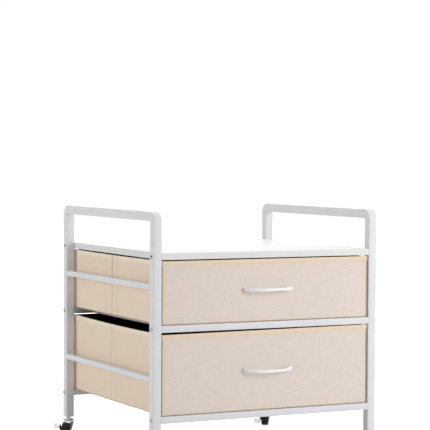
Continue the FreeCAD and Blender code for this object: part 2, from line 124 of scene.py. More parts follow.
def hard_finish(name, tones, drift, grain, relief, roughness, gloss):
    """A hard surface: its tone drifts slowly, and a fine grain gives its relief and its uneven gloss."""
    material, place = new_material(name)
    slow = add_node(material, "ShaderNodeTexNoise", values=drift, links={"Vector": place})
    fine = add_node(material, "ShaderNodeTexNoise", values=grain, links={"Vector": place})
    tone = add_node(material, "ShaderNodeValToRGB", links={"Fac": slow.outputs["Fac"]}, tones=tones)
    bump = add_node(material, "ShaderNodeBump", values=relief, links={"Height": fine.outputs["Fac"]})
    rough = add_node(material, "ShaderNodeMapRange", values=roughness, links={"Value": fine.outputs["Fac"]})
    shader = add_node(material, "ShaderNodeBsdfPrincipled", values=gloss, links={
        "Base Color": tone.outputs["Color"], "Roughness": rough.outputs[0], "Normal": bump.outputs[0]})
    add_node(material, "ShaderNodeOutputMaterial", links={"Surface": shader.outputs[0]})
    return material


def powder_coat(name, light, dark):
    """Baked polyester powder coat: satin, with a fine orange-peel surface that softens reflections."""
    return hard_finish(name, [(0.3, dark), (0.7, light)], drift={"Scale": 0.012, "Detail": 3.0},
                       grain={"Scale": 0.9, "Detail": 2.0}, relief={"Strength": 0.12, "Distance": 0.0004},
                       roughness={"To Min": 0.42, "To Max": 0.56}, gloss={"IOR": 1.5})


coated_steel = powder_coat("white_powder_coat", "#E2E2E5", "#DEDEE2")


def deselect_all():
    bpy.ops.object.select_all(action="DESELECT")


def take(piece):
    """Selects one piece alone and makes it the active one."""
    deselect_all()
    bpy.context.view_layer.objects.active = piece
    piece.select_set(True)


def open_new(name):
    """Names the primitive just added, puts its place in its mesh and selects all of it in edit mode."""
    piece = bpy.context.object
    piece.name = name
    bpy.ops.object.transform_apply()
    bpy.ops.object.mode_set(mode="EDIT")
    bpy.ops.mesh.select_all(action="SELECT")
    return piece


def start_tube(name, start, side, corner, turn=(0, 0, 0)):
    """The end of a square tube with rounded corners: a flat face, selected in edit mode."""
    deselect_all()
    bpy.ops.mesh.primitive_plane_add(size=side * MM, location=start, rotation=turn)
    tube = open_new(name)
    bpy.ops.mesh.bevel(offset=corner * MM, segments=4, affect="VERTICES")
    return tube


def grow(x, y, z):
    """Extrudes what is selected by a step in millimetres."""
    bpy.ops.mesh.extrude_region_move(TRANSFORM_OT_translate={"value": (x * MM, y * MM, z * MM)})


def face_outwards():
    """Turns all faces of the piece in edit mode to the outside."""
    bpy.ops.mesh.select_all(action="SELECT")
    bpy.ops.mesh.normals_make_consistent(inside=False)


def finish_piece(piece, material, body, slot, *nodes, smooth=35):
    """Back to object mode with faces outwards, smooth shading, its finish and its body."""
    if piece.mode == "EDIT":
        face_outwards()
        bpy.ops.object.mode_set(mode="OBJECT")
    take(piece)
    bpy.ops.object.transform_apply()
    bpy.ops.object.shade_smooth_by_angle(angle=math.radians(smooth))
    piece.data.materials.clear()
    piece.data.materials.append(material)
    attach(piece, body)
    if nodes:
        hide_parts(*nodes)


for side, name in SIDES:
    leg_x = side * LEG_X
    tube = start_tube("bent_tube_" + name, at(leg_x, -LEG_Y, LEG_LOW), LEG, LEG_CORNER)
    grow(0, 0, BEND_Z - LEG_LOW)
    bpy.ops.mesh.spin(steps=12, angle=math.radians(90), center=at(leg_x, -BEND_Y, BEND_Z), axis=(1, 0, 0))
    grow(0, 2 * BEND_Y, 0)
    bpy.ops.mesh.spin(steps=12, angle=math.radians(90), center=at(leg_x, BEND_Y, BEND_Z), axis=(1, 0, 0))
    grow(0, 0, LEG_LOW - BEND_Z)
    finish_piece(tube, coated_steel, "frame", "coated_steel", "side_frame_" + name)


# Side rails: two thin square tubes across each side, welded between the legs.
# They lie flush with the outer face, and a small weld bead runs round each end.
RAIL = 15.0
RAIL_CORNER = 1.4
RAIL_TOPS = (("upper", 505.0), ("lower", 256.0))
BEAD = 1.3
UPRIGHT = (math.radians(90), 0, 0)


def swell(factor, pivot):
    """Scales what is selected by a factor, but not from front to back, about a place."""
    bpy.ops.transform.resize(value=(factor, 1.0, factor), center_override=pivot)


def beaded_tube(name, start, side, corner, length, factor, pivot):
    """A square tube from front to back that swells by a factor into a weld bead at each end."""
    tube = start_tube(name, start, side, corner, UPRIGHT)
    swell(factor, pivot)
    grow(0, BEAD, 0)
    swell(1 / factor, pivot)
    grow(0, length - 2 * BEAD, 0)
    grow(0, BEAD, 0)
    swell(factor, pivot)
    return tube


for side, name in SIDES:
    for level, top in RAIL_TOPS:
        height = top - RAIL / 2
        start = at(side * (HALF_WIDTH - RAIL / 2), LEG - HALF_DEPTH, height)
        tube = beaded_tube("side_rail_%s_tube_%s" % (level, name), start, RAIL, RAIL_CORNER,
                           2 * (HALF_DEPTH - LEG), (RAIL + 2 * BEAD) / RAIL, at(side * HALF_WIDTH, 0, height))
        finish_piece(tube, coated_steel, "frame", "coated_steel", "side_rail_%s_%s" % (level, name))


# Crossbars: square tubes at the front and the back, bolted between the side frames.
# They are cut square and butt against the inner faces of the legs.
BAR = 19.0
BAR_CORNER = 1.6
BAR_TOPS = (("middle", 394.0), ("bottom", 148.5))
BAR_Y = HALF_DEPTH - BAR / 2
for end, name in ((-1, "front"), (1, "rear")):
    for level, top in BAR_TOPS:
        start = at(LEG - HALF_WIDTH, end * BAR_Y, top - BAR / 2)
        tube = start_tube("crossbar_%s_tube_%s" % (level, name), start, BAR, BAR_CORNER,
                          (0, math.radians(90), 0))
        grow(2 * (HALF_WIDTH - LEG), 0, 0)
        finish_piece(tube, coated_steel, "frame", "coated_steel", "crossbar_%s_%s" % (level, name))


# Runners: square tubes from the front crossbar to the rear one, which carry the drawers.
# Each end is welded to the crossbar's inner face with a bead all round.
RUNNER_X = 245.5
for side, name in SIDES:
    for level, top in BAR_TOPS:
        start = at(side * RUNNER_X, BAR - HALF_DEPTH, top - BAR / 2)
        tube = beaded_tube("runner_%s_tube_%s" % (level, name), start, BAR, BAR_CORNER,
                           2 * (HALF_DEPTH - BAR), (BAR + BEAD) / BAR, start)
        finish_piece(tube, coated_steel, "frame", "coated_steel", "runner_%s_%s" % (level, name))


# Frame bolts: round-headed furniture bolts with a hex socket, through each leg into a crossbar.
# They are zinc plated, in a darker copy of the zinc painted for the shaded side of their domed heads, so they
# stay grey against the white legs.
def zinc_plate(name, light, dark):
    """Zinc plating: a metal with a cloudy, faintly bluish spread of reflections."""
    return hard_finish(name, [(0.35, dark), (0.65, light)], drift={"Scale": 0.1, "Detail": 2.0},
                       grain={"Scale": 4.0, "Detail": 2.0}, relief={"Strength": 0.05, "Distance": 0.0002},
                       roughness={"To Min": 0.22, "To Max": 0.32}, gloss={"Metallic": 1.0})


zinc = zinc_plate("bright_zinc_plate", "#DDE0E4", "#C6CBD2")
# a darker copy of the bright zinc: painted shade for the dark side of the bolts' domed heads
shade_darkened_zinc = zinc_plate("zinc_plate_painted_shade", "#AEB2B8", "#92979E")


def pick_faces(piece, test):
    """Selects the faces of a piece in edit mode whose centre and normal pass a test."""
    bpy.ops.mesh.select_all(action="DESELECT")
    bpy.ops.object.mode_set(mode="OBJECT")
    for face in piece.data.polygons:
        face.select = test(face.center, face.normal)
    bpy.ops.object.mode_set(mode="EDIT")


def pick_edges(piece, test):
    """Selects the edges of a piece in edit mode whose two ends pass a test."""
    bpy.ops.mesh.select_mode(type="EDGE")
    bpy.ops.mesh.select_all(action="DESELECT")
    bpy.ops.object.mode_set(mode="OBJECT")
    points = piece.data.vertices
    for edge in piece.data.edges:
        edge.select = test(points[edge.vertices[0]].co, points[edge.vertices[1]].co)
    bpy.ops.object.mode_set(mode="EDIT")


def join_pieces(pieces, name):
    """Joins several pieces into the first of them."""
    deselect_all()
    for piece in pieces:
        piece.select_set(True)
    bpy.context.view_layer.objects.active = pieces[0]
    bpy.ops.object.join()
    pieces[0].name = name
    return pieces[0]


def copy_to(model, transform):
    """A copy of a model with its own mesh, moved by a transform in its mesh."""
    copy = model.copy()
    copy.data = model.data.copy()
    bpy.context.scene.collection.objects.link(copy)
    copy.data.transform(transform)
    return copy


def copies_at(model, places, name, turn=Matrix()):
    """Turned copies of a model at several places, joined into one piece."""
    return join_pieces([copy_to(model, Matrix.Translation(place) @ turn) for place in places], name)


def apply_modifier(piece, name, kind, **settings):
    """Gives a piece a modifier with its settings and applies it at once."""
    take(piece)
    modifier = piece.modifiers.new(name, kind)
    for key, value in settings.items():
        setattr(modifier, key, value)
    bpy.ops.object.modifier_apply(modifier=name)


def add_rod(name, sides, radius, low, high, turn=(0, 0, 0)):
    """A cylinder or prism in edit mode, on the Z axis between two heights in millimetres and then turned."""
    deselect_all()
    bpy.ops.mesh.primitive_cylinder_add(vertices=sides, radius=radius * MM, depth=(high - low) * MM,
                                        location=(0, 0, (low + high) / 2 * MM), rotation=turn)
    return open_new(name)


def socket_head(name, radius, height, socket, depth, dome):
    """A round screw head that stands on the XY plane at the origin, with a hex socket in its top."""
    head = add_rod(name, 48, radius, 0, height)
    pick_edges(head, lambda a, b: min(a.z, b.z) > 0.9 * height * MM)
    bpy.ops.mesh.bevel(offset=dome * MM, segments=5)
    bpy.ops.object.mode_set(mode="OBJECT")
    cutter = add_rod("cutter", 6, socket / math.sqrt(3), height - depth, height + depth)
    bpy.ops.object.mode_set(mode="OBJECT")
    apply_modifier(head, "socket", "BOOLEAN", operation="DIFFERENCE", object=cutter)
    bpy.data.objects.remove(cutter)
    return head


bolt_head = socket_head("bolt_head", radius=5.5, height=3.0, socket=4.0, depth=2.0, dome=1.9)
for side, name in SIDES:
    outwards = Matrix.Rotation(side * math.radians(90), 4, "Y")
    places = [at(side * HALF_WIDTH, end * BAR_Y, top - BAR / 2) for end in (-1, 1) for level, top in BAR_TOPS]
    heads = copies_at(bolt_head, places, "frame_bolt_heads_" + name, outwards)
    finish_piece(heads, shade_darkened_zinc, "frame", "zinc_steel", "frame_bolts_" + name)
bpy.data.objects.remove(bolt_head)


# Board screws: flat screws through the tops of the legs into the ends of the board.
# Their heads sit almost flush with the coat, with a deep hex socket, and are painted near black: painted
# shade for a dark recessed hole.
BOARD_MIDDLE = 580.0
SUNK = 0.1
# near black: painted shade standing in for a dark recessed hole
recess_shade_steel = zinc_plate("near_black_steel_painted_recess_shade", "#4A4C52", "#34363C")
screw_head = socket_head("screw_head", radius=4.2, height=1.0, socket=3.0, depth=0.8, dome=0.5)
for side, name in SIDES:
    outwards = Matrix.Rotation(side * math.radians(90), 4, "Y")
    places = [at(side * (HALF_WIDTH - SUNK), end * LEG_Y, BOARD_MIDDLE) for end in (-1, 1)]
    heads = copies_at(screw_head, places, "board_screw_heads_" + name, outwards)
    finish_piece(heads, recess_shade_steel, "frame", "zinc_steel")
bpy.data.objects.remove(screw_head)


# Top board: particle board with a white melamine face and a thin plastic band on its edges.
# It lies between the side frames, its top edges eased and its face smooth with a soft sheen.
BOARD_WIDTH = 649.6
BOARD = 18.0


def melamine(name, light, dark):
    """Melamine paper on board: smooth and hard, with a very fine pressed pore."""
    return hard_finish(name, [(0.35, dark), (0.65, light)], drift={"Scale": 0.01, "Detail": 2.0},
                       grain={"Scale": 1.6, "Detail": 4.0}, relief={"Strength": 0.1, "Distance": 0.0002},
                       roughness={"To Min": 0.46, "To Max": 0.58}, gloss={"IOR": 1.5})


def add_block(name, place, size):
    """A block in edit mode, its size in millimetres."""
    deselect_all()
    bpy.ops.mesh.primitive_cube_add(size=1, location=place, scale=[length * MM for length in size])
    return open_new(name)


def second_finish(piece, material, test):
    """Gives a second material to the faces of a finished piece that pass a test."""
    piece.data.materials.append(material)
    for face in piece.data.polygons:
        face.material_index = int(test(face))


board_face = melamine("white_melamine", "#ECEBEB", "#EAE9E9")
board_edge = melamine("white_edge_band", "#E2E2E1", "#DFDFDE")
board = add_block("white_board", at(0, 0, BOARD_MIDDLE), (BOARD_WIDTH, 2 * HALF_DEPTH, BOARD))
pick_edges(board, lambda a, b: min(a.z, b.z) > (BOARD_MIDDLE + BOARD / 2 - 1) * MM)
bpy.ops.mesh.bevel(offset=0.9 * MM, segments=3)
finish_piece(board, board_face, "frame", "board_white", "top_board")
second_finish(board, board_edge, lambda face: abs(face.normal.z) <= 0.9)


# Drawer cloth: each drawer is a sewn box of polyester woven to look like linen.
# The weave is plain, with thick slubs in both directions, over stiff board and a dark lining.
# A rim dips by its values at the front, middle and rear of each side; all sizes are in millimetres.
# The crease value of each drawer is how strongly painted shade darkens its side walls along the fold.
UPPER = {"name": "upper_drawer", "bottom": 394.5, "top": 567.0, "left": (0.6, 1.6, 0.4),
         "right": (0.0, 1.0, 0.4), "sag": 1.0, "pull_rise": 3.5, "fold": 2.4, "ridge": 0.5, "crease": 0.5}
LOWER = {"name": "lower_drawer", "bottom": 149.0, "top": 372.0, "left": (4.2, 5.5, 0.8),
         "right": (0.0, 1.5, 0.5), "sag": 4.0, "pull_rise": 1.5, "fold": 1.3, "ridge": 0.9, "crease": 0.21}
FRONT_FACE = -316.0
BOX_X = 318.5
BOX_Y = 312.0
BOX_REAR = 316.5
WALL = 3.0
WALL_CUTS = 155
WALL_ROWS = 26
TAPE_HEIGHT = 11.5
TAPE_ROWS = 3
HEM_HEIGHT = 2.4
FOLD_Y = 29.0
THREAD_TURN = 5.2


def woven_cloth(name, light, dark, slub_depth):
    """Linen-look polyester: matt, with slubs across and along that catch the light."""
    material, place = new_material(name)
    parts = add_node(material, "ShaderNodeSeparateXYZ", links={0: place})
    run = add_node(material, "ShaderNodeMath", {"operation": "ADD"},
                   links={0: parts.outputs["X"], 1: parts.outputs["Y"]})
    across = add_node(material, "ShaderNodeCombineXYZ", links={"X": run.outputs[0], "Y": parts.outputs["Z"]})
    # slubs are about 2 mm thick and 30 mm long, weft across the wall and warp up it
    slubs = []
    for stretch in ((0.035, 0.5, 1.0), (0.5, 0.035, 1.0)):
        stretched = add_node(material, "ShaderNodeVectorMath", {"operation": "MULTIPLY"}, {1: stretch},
                             {0: across.outputs[0]})
        slubs.append(add_node(material, "ShaderNodeTexNoise", {"noise_dimensions": "2D"},
                              {"Scale": 1.0, "Detail": 3.0}, {"Vector": stretched.outputs[0]}))
    woven = add_node(material, "ShaderNodeMix", values={0: 0.4},
                     links={2: slubs[0].outputs["Fac"], 3: slubs[1].outputs["Fac"]})
    # threads lie 0.6 mm apart, so they go over and under once in 1.2 mm, or 5.2 radians to the millimetre
    threads = []
    for output in (parts.outputs["Z"], run.outputs[0]):
        turns = add_node(material, "ShaderNodeMath", {"operation": "MULTIPLY"}, {1: THREAD_TURN}, {0: output})
        wave = add_node(material, "ShaderNodeMath", {"operation": "SINE"}, links={0: turns.outputs[0]})
        threads.append(wave)
    weave = add_node(material, "ShaderNodeMath", {"operation": "MULTIPLY"},
                     links={0: threads[0].outputs[0], 1: threads[1].outputs[0]})
    height = add_node(material, "ShaderNodeMath", {"operation": "MULTIPLY_ADD"}, {1: 0.25},
                      {0: weave.outputs[0], 2: woven.outputs[0]})
    bump = add_node(material, "ShaderNodeBump", values={"Strength": 0.35, "Distance": slub_depth * MM},
                    links={"Height": height.outputs[0]})
    tone = add_node(material, "ShaderNodeValToRGB", links={"Fac": woven.outputs[0]},
                    tones=[(0.36, dark), (0.64, light)])
    # painted shade along the crease: the mesh gives its strength, it is nothing elsewhere, and the pressed
    # mix below darkens the tone towards a painted shade colour
    crease = add_node(material, "ShaderNodeAttribute", {"attribute_name": "crease"})
    pressed = add_node(material, "ShaderNodeMix", {"data_type": "RGBA"}, {7: colour("#4A3A2C")},
                       {0: crease.outputs["Fac"], 6: tone.outputs["Color"]})
    shader = add_node(material, "ShaderNodeBsdfPrincipled",
                      values={"Roughness": 0.85, "Sheen Weight": 0.25, "Sheen Roughness": 0.5, "IOR": 1.45},
                      links={"Base Color": pressed.outputs[2], "Normal": bump.outputs[0]})
    add_node(material, "ShaderNodeOutputMaterial", links={"Surface": shader.outputs[0]})
    return material


def black_felt(name, light, dark):
    """Pressed black felt over board: dull, with a pale fleck of fibres."""
    material, place = new_material(name)
    fleck = add_node(material, "ShaderNodeTexNoise", values={"Scale": 0.9, "Detail": 6.0},
                     links={"Vector": place})
    tone = add_node(material, "ShaderNodeValToRGB", links={"Fac": fleck.outputs["Fac"]},
                    tones=[(0.3, dark), (0.7, light)])
    bump = add_node(material, "ShaderNodeBump", values={"Strength": 0.4, "Distance": 0.0004},
                    links={"Height": fleck.outputs["Fac"]})
    shader = add_node(material, "ShaderNodeBsdfPrincipled",
                      values={"Roughness": 0.95, "Specular IOR Level": 0.15},
                      links={"Base Color": tone.outputs["Color"], "Normal": bump.outputs[0]})
    add_node(material, "ShaderNodeOutputMaterial", links={"Surface": shader.outputs[0]})
    return material


front_cloth = woven_cloth("linen_weave_front", "#EADED5", "#E2D4CA", 0.3)
# the side walls take the front's cloth in a warmer, yellower tone: painted warm shade, the tint of the shaded
# sides
shade_warmed_side_cloth = woven_cloth("linen_weave_side_painted_warm_shade", "#F2E0CA", "#ECD9C2", 0.16)
lining = black_felt("black_felt_lining", "#46352A", "#2C2019")


def place_of(point):
    """The x, y and z of a mesh point in millimetres from the middle of the stand."""
    return (point.co.x - middle_x) / MM, (point.co.y - middle_y) / MM, point.co.z / MM


def waver(*place):
    """A smooth value between about -1 and 1 that differs from place to place."""
    return noise.noise(Vector(place))


def hump(distance, width):
    """A smooth hump, 1 high where the distance is nothing."""
    return math.exp(-(distance / width) ** 2)


def rim_dip(drawer, x, y):
    """How far the rim hangs below the drawer's full height at a place."""
    t = y / HALF_DEPTH
    left, right = [middle + (rear - front) / 2 * t + ((rear + front) / 2 - middle) * t * t
                   for front, middle, rear in (drawer["left"], drawer["right"])]
    share = (x / (HALF_WIDTH - LEG) + 1) / 2
    return left + (right - left) * share


def from_fold(drawer, side, y, z):
    """How high a place on a side wall is, from 0 to 1, and how far it lies behind the wavering fold."""
    share = (z - drawer["bottom"]) / (drawer["top"] - drawer["bottom"])
    return share, y - FOLD_Y - 1.5 * waver(z / 60, side, 4.0)


def wall_swell(drawer, side, y, z):
    """How far a side wall stands out from its flat place: a bow, the fold and soft puckers."""
    share, distance = from_fold(drawer, side, y, z)
    bow = 1.1 * math.cos(y / BOX_Y * math.pi / 2) * math.sin(math.pi * min(max(share, 0.02), 0.98))
    fold = drawer["fold"] * (0.35 + 0.65 * share) * math.exp(-abs(distance) / 2.6) + 0.9 * hump(distance, 15)
    ridges = drawer["ridge"] * (hump(distance + 16, 6) + 0.8 * hump(distance - 15, 6)) * (0.3 + 0.7 * share)
    soft = 1.1 * waver(y / 95, z / 150, drawer["fold"] + side)
    pucker = 0.7 * waver(y / 14, z / 170, drawer["ridge"] + side) * hump(distance, 80) * (0.2 + 0.8 * share)
    edge = max(min(1.0, (BOX_Y - abs(y)) / 30), 0.0)
    return (bow - fold + ridges + soft + pucker) * edge


def wall_crease(drawer, side, y, z):
    """How much painted shade darkens a place of a side wall: at the fold, deepest under the rim, and faintly
    along two lines beside it.
    """
    share, distance = from_fold(drawer, side, y, z)
    main = hump(distance, 2.8) * (0.3 + 0.7 * share)
    second = 0.22 * hump(distance + 36, 3.5) + 0.15 * hump(distance - 40, 4)
    return drawer["crease"] * (main + second)


def flat_walls(drawer, name):
    """The four walls and the floor of a drawer as a plain sheet, before the cloth gets its shape."""
    bottom, top = drawer["bottom"], drawer["top"]
    deselect_all()
    bpy.ops.mesh.primitive_plane_add(size=1, location=at(0, (BOX_REAR - BOX_Y) / 2, bottom))
    bpy.context.object.scale = (2 * BOX_X * MM, (BOX_REAR + BOX_Y) * MM, 1)
    walls = open_new(name)
    bpy.ops.mesh.bevel(offset=1.8 * MM, segments=3, affect="VERTICES")
    bpy.ops.mesh.delete(type="ONLY_FACE")
    pick_edges(walls, lambda a, b: (a - b).length > 100 * MM)
    bpy.ops.mesh.subdivide(number_cuts=WALL_CUTS)
    bpy.ops.mesh.select_all(action="SELECT")
    grow(0, 0, HEM_HEIGHT)
    for row in range(WALL_ROWS):
        grow(0, 0, (top - TAPE_HEIGHT - bottom - HEM_HEIGHT) / WALL_ROWS)
    for row in range(TAPE_ROWS):
        grow(0, 0, TAPE_HEIGHT / TAPE_ROWS)
    pick_edges(walls, lambda a, b: max(a.z, b.z) < (bottom + 0.1) * MM)
    bpy.ops.mesh.edge_face_add()
    face_outwards()
    bpy.ops.object.mode_set(mode="OBJECT")
    return walls


def shape_cloth(walls, drawer, outset=0.0):
    """Gives the walls their bow, fold, puckers and dipping rim, and a value for the painted shade along the
    fold.
    """
    bottom, top = drawer["bottom"], drawer["top"]
    straight = BOX_Y - 4
    crease = walls.data.attributes.new("crease", "FLOAT", "POINT")
    for index, point in enumerate(walls.data.vertices):
        x, y, z = place_of(point)
        if abs(y) < straight:
            # more points near the fold, so that it stays crisp
            reach = straight + (-FOLD_Y if y > FOLD_Y else FOLD_Y)
            t = (y - FOLD_Y) / reach
            y = FOLD_Y + reach * t * (0.3 + 0.7 * abs(t))
        swollen = x
        if abs(x) > BOX_X - 1:
            side = math.copysign(1, x)
            swollen = x + side * (wall_swell(drawer, side, y, z) + outset)
            # the painted shade along the fold, kept on each point of a side wall
            crease.data[index].value = wall_crease(drawer, side, y, z)
        share = (z - bottom) / (top - bottom)
        behind = outset if y > BOX_REAR - 1 else 0.0
        point.co = at(swollen, y + behind, z - rim_dip(drawer, x, y) * share)


def thicken(sheet, thickness):
    """Gives a sheet its thickness, inwards, and the inner faces the second of its materials."""
    apply_modifier(sheet, "thickness", "SOLIDIFY", thickness=thickness * MM, offset=-1, material_offset=1)


def thicken_lined(sheet, cloth, thickness):
    """Thickens a sheet of cloth and tells which of its faces carry the lining."""
    for material in (cloth, lining):
        sheet.data.materials.append(material)
    thicken(sheet, thickness)
    return {face.index for face in sheet.data.polygons if face.material_index == 1}


for drawer in (UPPER, LOWER):
    name = drawer["name"]
    walls = flat_walls(drawer, name + "_walls")
    shape_cloth(walls, drawer)
    inner = thicken_lined(walls, shade_warmed_side_cloth, WALL)
    finish_piece(walls, shade_warmed_side_cloth, name, "linen_fabric", name + "_box", smooth=50)
    second_finish(walls, lining, lambda face: face.index in inner)


# Drawer fronts: a stiff board wrapped in the same cloth and stitched to the box.
# The stitching runs a little inside the edges and pulls the cloth in.
FRONT_HALF = 321.0
FRONT_LIFT = 1.5
FRONT_BOARD = 3.8
SEAM_INSET = 8.0
SEAM_DEPTH = 0.55


def front_rim(drawer, x):
    return drawer["top"] - rim_dip(drawer, x, FRONT_FACE)


def add_sheet(name, place, width, height, columns, rows, turn=(0, 0, 0)):
    """A flat grid of faces around a place, its width and height in millimetres."""
    deselect_all()
    bpy.ops.mesh.primitive_grid_add(x_subdivisions=columns, y_subdivisions=rows, size=1, location=place,
                                    rotation=turn)
    sheet = bpy.context.object
    sheet.name = name
    sheet.scale = (width * MM, height * MM, 1)
    bpy.ops.object.transform_apply()
    return sheet


def front_panel(drawer):
    """The wrapped board: flat, its face slightly full and pulled in along the seam near its edges."""
    low, high = drawer["bottom"] + FRONT_LIFT, drawer["top"]
    panel = add_sheet(drawer["name"] + "_panel", at(0, FRONT_FACE, (low + high) / 2), 2 * FRONT_HALF,
                      high - low, columns=160, rows=60, turn=UPRIGHT)
    for point in panel.data.vertices:
        x, y, z = place_of(point)
        z = low + (z - low) / (high - low) * (front_rim(drawer, x) - low)
        border = min(FRONT_HALF - abs(x), z - low)
        seam = SEAM_DEPTH * hump(border - SEAM_INSET, 1.8)
        edge = 1.6 * math.exp(-border / 1.2)
        full = 0.25 * waver(x / 70, z / 60, 5.0)
        point.co = at(x, FRONT_FACE + seam + edge + full + 0.2, z)
    return panel


for drawer in (UPPER, LOWER):
    name = drawer["name"]
    panel = front_panel(drawer)
    thicken(panel, FRONT_BOARD)
    finish_piece(panel, front_cloth, name, "linen_fabric", name + "_front", smooth=60)


# Edge tape: a narrow tan tape sewn over the raw edges of the front, at both sides and the bottom.
# Its dark tan is partly the tape's own colour and partly painted shade for the narrow shaded gap between the
# front and the frame, where it shows as a thin darker line.
EDGE_TAPE = 1.7
EDGE_TAPE_DEPTH = 3.6
# tan tape, its colour partly the tape's own and partly painted shade along the edges it covers
tan_tape_and_edge_shade = woven_cloth("tan_tape_painted_edge_shade", "#CDB68F", "#BFA67E", 0.12)


def edge_line(drawer, name, start, end):
    """A thin rounded tape between two places on the front, which are in millimetres."""
    size = [max(abs(step), EDGE_TAPE) for step in end - start]
    size[1] = EDGE_TAPE_DEPTH
    strip = add_block("%s_tape_%s" % (drawer["name"], name), at(*(start + end) / 2), size)
    bpy.ops.mesh.bevel(offset=0.6 * MM, segments=3)
    finish_piece(strip, tan_tape_and_edge_shade, drawer["name"], "cream_tape")


for drawer in (UPPER, LOWER):
    low = drawer["bottom"] + 1.0
    y = FRONT_FACE + 1.9
    for side, name in SIDES:
        x = side * (FRONT_HALF - 0.4)
        high = front_rim(drawer, side * FRONT_HALF) - 2
        edge_line(drawer, name, Vector((x, y, low)), Vector((x, y, high)))
    x = FRONT_HALF + 0.4
    edge_line(drawer, "bottom", Vector((-x, y, low + 0.4)), Vector((x, y, low + 0.4)))


# Rim binding: cream tape folded over the top edge and stitched through.
# A straight length covers the top of the front, and a longer one runs round the sides and the back; the
# longer one is painted lighter, a painted highlight along its rolled top.
# The tan tape is sewn round the foot of the same three walls as a narrow hem, its dark tan partly painted
# shade along the bottom edge.
PROUD = 0.9
FRONT_BAND = 12.4
FRONT_BAND_DEPTH = 8.6
SIDE_BAND_DEPTH = 4.6
HEM = 0.8
tape = woven_cloth("cream_binding_tape", "#F1DFC6", "#EBD7BC", 0.12)
# the same cream tape painted lighter: a painted highlight where the rolled top of the side binding catches
# the light
lit_side_tape = woven_cloth("side_binding_tape_painted_highlight", "#FCEEDA", "#F6E6D0", 0.12)


def front_binding(drawer):
    """The folded tape along the top of the front, in mild waves between its stitches."""
    band = add_sheet(drawer["name"] + "_front_binding", at(0, FRONT_FACE - PROUD, 0), 2 * (FRONT_HALF + 0.8),
                     FRONT_BAND, columns=200, rows=8, turn=UPRIGHT)
    for point in band.data.vertices:
        x, y, rise = place_of(point)
        wave = 0.18 * waver(x / 9, 0, 2.0)
        seam = 0.35 * hump(rise + 4.6, 0.8)
        roll = 0.8 * math.exp((rise - FRONT_BAND / 2) / 0.9)
        point.co = at(x, FRONT_FACE - PROUD + seam + roll + wave * 0.5,
                      front_rim(drawer, x) + PROUD - FRONT_BAND / 2 + rise + wave)
    return band


def band_of_walls(drawer, name, low, high, outset, lift=0.0):
    """The walls again between two heights, all round but the front, a little larger than they are."""
    band = flat_walls(drawer, name)
    bpy.ops.object.mode_set(mode="EDIT")
    bpy.ops.mesh.select_mode(type="FACE")
    front_y = at(0, 1.0 - BOX_Y, 0).y
    pick_faces(band, lambda c, n: not low * MM < c.z < high * MM or c.y < front_y or abs(n.z) > 0.9)
    bpy.ops.mesh.delete(type="FACE")
    bpy.ops.object.mode_set(mode="OBJECT")
    shape_cloth(band, drawer, outset)
    band.data.transform(Matrix.Translation((0, 0, lift * MM)))
    return band


def ease_edges(piece, width, segments, sharp):
    """Rounds the edges of a piece that turn by more than a sharp angle in degrees."""
    apply_modifier(piece, "eased", "BEVEL", width=width * MM, segments=segments, limit_method="ANGLE",
                   angle_limit=math.radians(sharp))


for drawer in (UPPER, LOWER):
    name = drawer["name"]
    bottom, top = drawer["bottom"], drawer["top"]
    band = front_binding(drawer)
    thicken(band, FRONT_BAND_DEPTH)
    ease_edges(band, 0.8, segments=3, sharp=50)
    finish_piece(band, tape, name, "cream_tape", name + "_binding", smooth=60)
    band = band_of_walls(drawer, name + "_side_binding", top - TAPE_HEIGHT, top, outset=0.8, lift=0.5)
    inner = thicken_lined(band, lit_side_tape, SIDE_BAND_DEPTH)
    finish_piece(band, lit_side_tape, name, "cream_tape", smooth=60)
    second_finish(band, lining, lambda face: face.index in inner)
    # the hem's dark tan is partly painted shade along the foot of the walls
    hem = band_of_walls(drawer, name + "_bottom_tape", bottom, bottom + HEM_HEIGHT, outset=0.5)
    thicken(hem, HEM)
    finish_piece(hem, tan_tape_and_edge_shade, name, "cream_tape", smooth=60)


# Stitching: cream thread through the binding and through the seam of each front.
# Each stitch shows for 3 mm, one to every 4 mm, and its ends dip into the cloth.
STITCH = 3.0
STITCH_STEP = 4.0
THREAD_RADIUS = 0.42


def cotton_thread(name, light, dark):
    """Twisted cotton thread: dull, with the twist as a fine change of tone."""
    material, place = new_material(name)
    twist = add_node(material, "ShaderNodeTexNoise", values={"Scale": 3.0, "Detail": 2.0},
                     links={"Vector": place})
    tone = add_node(material, "ShaderNodeValToRGB", links={"Fac": twist.outputs["Fac"]},
                    tones=[(0.35, dark), (0.65, light)])
    shader = add_node(material, "ShaderNodeBsdfPrincipled", values={"Roughness": 0.75, "Sheen Weight": 0.2},
                      links={"Base Color": tone.outputs["Color"]})
    add_node(material, "ShaderNodeOutputMaterial", links={"Surface": shader.outputs[0]})
    return material


def lying_rod(name, sides, radius, half, cuts):
    """A rod along X about the origin, cut across so that it can bend, its sizes in millimetres."""
    rod = add_rod(name, sides, radius, -half, half, (0, math.radians(90), 0))
    pick_edges(rod, lambda a, b: abs(a.x - b.x) > MM)
    bpy.ops.mesh.subdivide(number_cuts=cuts)
    bpy.ops.object.mode_set(mode="OBJECT")
    return rod


def stitch_row(half, place):
    """A row of stitches; place turns (along from its middle, out, across) into a place on the stand."""
    row = lying_rod("stitches", sides=6, radius=THREAD_RADIUS, half=STITCH / 2, cuts=3)
    for point in row.data.vertices:
        point.co.y -= 0.6 * MM * (point.co.x / MM / (STITCH / 2)) ** 2
    apply_modifier(row, "repeat", "ARRAY", count=int(2 * half / STITCH_STEP), use_relative_offset=False,
                   use_constant_offset=True, constant_offset_displace=(STITCH_STEP * MM, 0, 0))
    for point in row.data.vertices:
        point.co = place(point.co.x / MM + STITCH_STEP / 2 - half, point.co.y / MM, point.co.z / MM)
    return row


